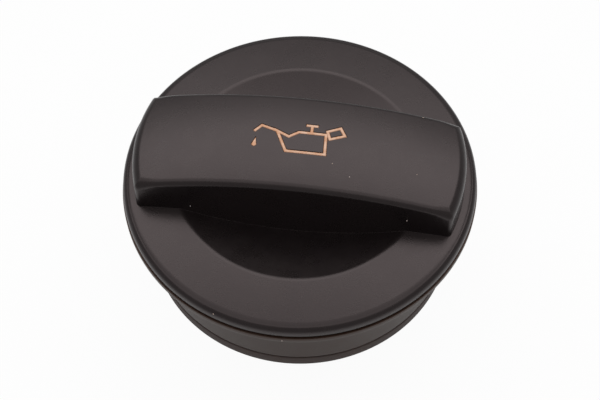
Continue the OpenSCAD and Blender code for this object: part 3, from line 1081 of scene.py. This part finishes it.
def lugs(material):
    """The two lugs and their stops, each pair turned round the axis by a Geometry Nodes tree."""
    body = settings().body
    root = body.plug - body.wall / 2
    slope = math.tan(body.lug_slope)

    def ramp_top(t):
        return body.lug_height + slope * body.plug * math.sin(t)

    reach, turn = body.plug + body.lug_out, body.lug_turn
    lug = sector_block("lug", root, reach, -turn / 2, turn, lambda t: 0.0, ramp_top)
    for v in lug.data.vertices:
        if v.co.z < 1e-6 and math.hypot(v.co.x, v.co.y) > body.plug:
            shrink = (reach - body.lug_bevel) / math.hypot(v.co.x, v.co.y)
            v.co.x *= shrink
            v.co.y *= shrink
    # the outer wall above the bevel is kept upright by a second ring of points
    bm = bmesh.new()
    bm.from_mesh(lug.data)
    outer = [
        e
        for e in bm.edges
        if min(v.co.z for v in e.verts) < 1e-6
        and max(v.co.z for v in e.verts) > body.lug_bevel
        and max(math.hypot(v.co.x, v.co.y) for v in e.verts) > body.plug + 1e-4
    ]
    for e in outer:
        low, high = sorted(e.verts, key=lambda v: v.co.z)
        _, made = bmesh.utils.edge_split(e, low, body.lug_bevel / (high.co.z - low.co.z))
        grow = reach / math.hypot(made.co.x, made.co.y)
        made.co.x *= grow
        made.co.y *= grow
        made.co.z = body.lug_bevel
    bm.to_mesh(lug.data)
    bm.free()
    bevelled(lug, body.softening)
    stop = sector_block(
        "stop",
        root,
        body.plug + body.lug_out / 2,
        body.lug_turn / 2 - body.stop_turn,
        body.stop_turn,
        lambda t: body.lug_height / 2,
        lambda t: body.lug_height + body.stop_height,
        4,
    )
    bevelled(stop, body.softening)
    return [turned_copies(lug, 2, material), turned_copies(stop, 2, material)]


def turned_copies(piece, copies, material):
    """The piece repeated round the axis by Geometry Nodes, as one plain mesh."""
    carrier = mesh_object(piece.name + "s", [], [])
    values = {"Piece": piece, "Copies": copies, "Material": material}
    grown(carrier, shared(copies_round_axis), values)
    bpy.data.objects.remove(piece)
    return carrier


def new_tree(name, inputs):
    """A Geometry Nodes tree: its wiring, its named inputs and its output node."""
    tree = bpy.data.node_groups.new(name, "GeometryNodeTree")
    for label, kind in inputs:
        tree.interface.new_socket(label, in_out="INPUT", socket_type="NodeSocket" + kind)
    tree.interface.new_socket("Geometry", in_out="OUTPUT", socket_type="NodeSocketGeometry")
    w = Wiring(tree)
    return w, w.node("NodeGroupInput").outputs, w.node("NodeGroupOutput")


def poured(w, placed, material, end):
    """The tree, closed: its instances made real and set in their material."""
    whole = w.node("GeometryNodeRealizeInstances", {0: placed.outputs[0]})
    coated = w.node(
        "GeometryNodeSetMaterial", {"Geometry": whole.outputs[0], "Material": material}
    )
    w.put(coated.outputs[0], end.inputs["Geometry"])
    return w.tree


def copies_round_axis():
    """Geometry Nodes: one piece on equal steps round the axis."""
    w, given, end = new_tree(
        "copies_round_axis", (("Piece", "Object"), ("Copies", "Int"), ("Material", "Material"))
    )
    spots = w.node("GeometryNodeMeshLine", {"Count": given["Copies"], "Offset": (0, 0, 0)})
    shape = w.node("GeometryNodeObjectInfo", {"Object": given["Piece"]})
    step = w.math("DIVIDE", 2 * math.pi, given["Copies"])
    turn = w.math("MULTIPLY", w.node("GeometryNodeInputIndex").outputs[0], step)
    angles = w.node("ShaderNodeCombineXYZ", {"Z": turn}).outputs[0]
    values = {"Points": spots.outputs[0], "Instance": shape.outputs["Geometry"], "Rotation": angles}
    placed = w.node("GeometryNodeInstanceOnPoints", values)
    return poured(w, placed, given["Material"], end)


def ribs(c):
    """The crossed ribs that stiffen the plug's cup."""
    body = settings().body
    reach, half = c.plug_in_r + body.wall / 2, body.rib / 2
    low, high = body.rib_lift, c.plug_top - body.wall / 2
    plan = ((-reach, -half), (reach, -half), (reach, half), (-reach, half))
    verts = [(x, y, z) for z in (low, high) for x, y in plan]
    faces = [(3, 2, 1, 0), (4, 5, 6, 7), (0, 1, 5, 4), (1, 2, 6, 5), (2, 3, 7, 6), (3, 0, 4, 7)]
    first = bevelled(tidied(mesh_object("rib", verts, faces)), body.softening)
    second = first.copy()
    second.data = first.data.copy()
    second.data.transform(Matrix.Rotation(math.pi / 2, 4, "Z"))
    bpy.context.scene.collection.objects.link(second)
    return combined(first, second, "UNION")


class CAP_OT_ring(bpy.types.Operator):
    """Build the rubber sealing ring with its two beads"""

    bl_idname = "cap.ring"
    bl_label = "Sealing ring"

    def execute(self, context):
        s, c = settings(), cap_levels()
        body = s.body
        inner = body.plug + body.ring_gap
        groove_in = inner + body.ring_bead + body.ring_groove
        groove_out = c.collar_r - body.ring_corner - body.ring_bead - body.ring_groove
        neck = c.collar_r - body.seam_depth
        profile = [
            (inner, c.seal_face),
            (inner + body.ring_bead, c.seal_face),
            (groove_in, c.seal_face + body.ring_groove),
            (groove_out, c.seal_face + body.ring_groove),
            (groove_out + body.ring_groove, c.seal_face),
            (c.collar_r, c.seal_face, body.ring_corner),
            (c.collar_r, c.lip_top),
            (neck, c.lip_top),
            (neck, c.collar_foot),
            (c.collar_in_r, c.collar_foot),
            (c.collar_in_r, c.floor),
            (inner, c.floor),
        ]
        points, faces = turned(softened(profile, body.softening, 4), s.cover.segments)
        piece = tidied(mesh_object("ring", points, faces), MERGE)
        shaded_by_angle(piece)
        finish = s.finish
        material = moulded_material(
            "black_rubber", finish.rubber, 0.55, finish.grain * 0.7, bump=0.25, dust=0.06, wear_and_highlight=0.2
        )
        finished(piece, "sealing_ring", material)
        return {"FINISHED"}


class CAP_OT_symbol(bpy.types.Operator):
    """Build the orange paint in the engraved oil-can symbol"""

    bl_idname = "cap.symbol"
    bl_label = "Symbol"

    def execute(self, context):
        s, c = settings(), cap_levels()
        symbol = s.symbol
        half = symbol.line / 2
        shore = -symbol.sink - symbol.dome
        levels = [(-symbol.depth, half), (shore, half), (-symbol.sink, 0.55 * half)]
        piece = symbol_prisms(levels)
        height = np.array([v.co.z for v in piece.data.vertices])
        # how far down the paint's dome each point lies, for the painted shade at its edges
        mark_points(piece.data, "edge", np.clip((-symbol.sink - height) / symbol.dome, 0, 1))
        bent_to_arch(c, piece)
        shaded_by_angle(piece)
        material = painted_material("orange_paint", s.finish.orange)
        finished(piece, "oil_can_symbol", material)
        return {"FINISHED"}


# Specks of dust that stand out: plan position in mm, height above the shoulder in mm, and size
SPECKS = (
    (-18.7, -10.95, 2.4, 0.8),
    (6.56, -4.38, 10.94, 1.0),
    (9.85, -6.56, 10.48, 0.8),
    (20.76, -10.8, 4.5, 0.9),
    (21.8, 9.3, 8.35, 1.0),
    (21.75, -3.65, 8.93, 0.6),
    (-11.6, -30.9, -0.6, 0.9),
    (0.9, -33.25, -3.6, 1.0),
    (21.2, -24.3, -0.8, 0.9),
)


class CAP_OT_specks(bpy.types.Operator):
    """Scatter the few bright specks of dust over the cap"""

    bl_idname = "cap.specks"
    bl_label = "Specks"

    def execute(self, context):
        s, c = settings(), cap_levels()
        material = painted_material("dust_specks", s.finish.speck)
        points = [(x * MM, y * MM, c.shoulder + z * MM) for x, y, z, _ in SPECKS]
        carrier = mesh_object("specks", points, [])
        mark_points(carrier.data, "size", [size for *_, size in SPECKS])
        values = {"Radius": s.finish.speck_size, "Seed": 3, "Material": material}
        grown(carrier, shared(speck_scatter), values)
        finished(carrier, "grip_cover", material, replaces=False)
        return {"FINISHED"}


def grown(carrier, tree, values):
    """The carrier's mesh as the tree makes it, its named inputs set by their sockets."""
    work = carrier.modifiers.new(tree.name, "NODES")
    work.node_group = tree
    for item in tree.interface.items_tree:
        if item.item_type == "SOCKET" and item.in_out == "INPUT" and item.name in values:
            work[item.identifier] = values[item.name]
    return applied(carrier)


def speck_scatter():
    """Geometry Nodes: one small uneven crumb on each point, sized by the point and turned at random."""
    w, given, end = new_tree(
        "speck_scatter",
        (("Geometry", "Geometry"), ("Radius", "Float"), ("Seed", "Int"), ("Material", "Material")),
    )
    crumb = w.node("GeometryNodeMeshIcoSphere", {"Radius": given["Radius"], "Subdivisions": 2})
    size = w.node("GeometryNodeInputNamedAttribute", {"Name": "size"}, data_type="FLOAT")
    turn = w.node("FunctionNodeRandomValue", data_type="FLOAT_VECTOR")
    w.put((2 * math.pi,) * 3, turn.inputs[1])
    w.put(given["Seed"], turn.inputs["Seed"])
    shape = w.node("ShaderNodeCombineXYZ", {"X": 1.0, "Y": 0.7, "Z": 0.5}).outputs[0]
    values = {"Points": given["Geometry"], "Instance": crumb.outputs["Mesh"]}
    placed = w.node("GeometryNodeInstanceOnPoints", values)
    w.put(turn.outputs[0], placed.inputs["Rotation"])
    w.put(w.scaled(shape, size.outputs["Attribute"]), placed.inputs["Scale"])
    return poured(w, placed, given["Material"], end)


class CAP_OT_stage(bpy.types.Operator):
    """Set up the camera, the pale floor and the soft light"""

    bl_idname = "cap.stage"
    bl_label = "Stage"

    def execute(self, context):
        s = settings()
        stage = s.stage
        scene = context.scene
        lens = bpy.data.cameras.new("camera")
        lens.lens = stage.lens
        lens.sensor_width = 36
        lens.clip_start, lens.clip_end = 0.01, 10
        camera = bpy.data.objects.new("camera", lens)
        scene.collection.objects.link(camera)
        a, e = stage.azimuth, stage.elevation
        back = Vector((math.sin(a) * math.cos(e), -math.cos(a) * math.cos(e), math.sin(e)))
        camera.location = Vector(stage.aim) + back * stage.distance
        look = (-back).to_track_quat("-Z", "Y").to_matrix()
        roll = Matrix.Rotation(stage.roll, 3, "Z")
        camera.rotation_euler = (look @ roll).to_euler()
        scene.camera = camera
        scene.view_settings.view_transform = "Standard"
        corners = ((-1, -1), (1, -1), (1, 1), (-1, 1))
        corners = [(stage.floor * x, stage.floor * y, 0) for x, y in corners]
        floor = mesh_object("floor", corners, [(0, 1, 2, 3)])
        floor.data.materials.append(floor_material())
        world = bpy.data.worlds.new("studio")
        scene.world = world
        world.use_nodes = True
        sky = world.node_tree.nodes["Background"].inputs
        sky["Color"].default_value = (0.38, 0.38, 0.38, 1)
        sky["Strength"].default_value = 1.0
        softbox("top_panel", (-0.05, 0.47, 0.8), (1.8, 0.56), 5.2)
        softbox("wide_panel", (-0.05, 0.24, 0.8), (1.8, 1.725), 5.85)
        return {"FINISHED"}


def softbox(name, place, size, power):
    """A soft lamp that looks straight down."""
    lamp = bpy.data.lights.new(name, "AREA")
    lamp.shape = "RECTANGLE"
    lamp.size, lamp.size_y = size
    lamp.energy = power
    holder = bpy.data.objects.new(name, lamp)
    holder.location = place
    bpy.context.scene.collection.objects.link(holder)


# painted falloff of light: the floor's colour fades from pale within the first radius to dim beyond the
# second
PALE_WITHIN, DIM_BEYOND = 0.07, 0.16  # metres from the axis


def floor_material():
    """Pale matt floor, mostly plain white to the camera and in reflections, with a light shadow; its
    colour is paler near the cap and darker away from it, a painted falloff of light.
    """
    material, w, shader, place = new_material("pale_floor")
    away = w.node("ShaderNodeVectorMath", {0: place}, operation="LENGTH")
    # painted falloff of light: paler floor near the cap, darker away from it
    painted_falloff = w.ramp(away.outputs["Value"], PALE_WITHIN, DIM_BEYOND)
    w.put(w.mix(painted_falloff, (0.8, 0.8, 0.8, 1), (0.4, 0.4, 0.4, 1)), shader.inputs["Base Color"])
    shader.inputs["Roughness"].default_value = 0.9
    shader.inputs["Specular IOR Level"].default_value = 0.1
    path = w.node("ShaderNodeLightPath").outputs
    mirrored = w.math("MAXIMUM", path["Is Glossy Ray"], path["Is Transmission Ray"])
    straight = w.math("MULTIPLY", path["Is Camera Ray"], 0.95)
    seen = w.math("ADD", straight, w.math("MULTIPLY", mirrored, 0.1))
    white = w.node("ShaderNodeEmission", {"Color": (1, 1, 1, 1), "Strength": 1.0})
    both = w.node("ShaderNodeMixShader", {0: seen})
    w.put(shader.outputs[0], both.inputs[1])
    w.put(white.outputs[0], both.inputs[2])
    w.put(both.outputs[0], material.node_tree.nodes["Material Output"].inputs["Surface"])
    return material


class FillerCapSettings(bpy.types.PropertyGroup):
    """All sizes and finishes of the cap"""

    cover: PointerProperty(type=CoverSizes)
    body: PointerProperty(type=BodySizes)
    symbol: PointerProperty(type=SymbolSizes)
    finish: PointerProperty(type=Finishes)
    stage: PointerProperty(type=StageSizes)


OPERATORS = (CAP_OT_stage, CAP_OT_cover, CAP_OT_body, CAP_OT_ring, CAP_OT_symbol, CAP_OT_specks)


class CAP_PT_panel(bpy.types.Panel):
    """Sidebar panel with the cap's pieces and sizes"""

    bl_idname = "CAP_PT_panel"
    bl_label = "Filler cap"
    bl_space_type = "VIEW_3D"
    bl_region_type = "UI"
    bl_category = "Filler cap"

    def draw(self, context):
        for operator in OPERATORS:
            self.layout.operator(operator.bl_idname)
        cap = context.scene.filler_cap
        for part in (cap.cover, cap.body, cap.symbol, cap.finish, cap.stage):
            box = self.layout.box()
            for key in part.__annotations__:
                box.prop(part, key)


GROUPS = (CoverSizes, BodySizes, SymbolSizes, Finishes, StageSizes, FillerCapSettings)
CLASSES = (*GROUPS, *OPERATORS, CAP_PT_panel)


def register():
    for cls in CLASSES:
        bpy.utils.register_class(cls)
    bpy.types.Scene.filler_cap = PointerProperty(type=FillerCapSettings)


def unregister():
    del bpy.types.Scene.filler_cap
    for cls in reversed(CLASSES):
        bpy.utils.unregister_class(cls)


def main():
    register()
    for operator in OPERATORS:
        group, name = operator.bl_idname.split(".")
        getattr(getattr(bpy.ops, group), name)()


if __name__ == "__main__":
    main()
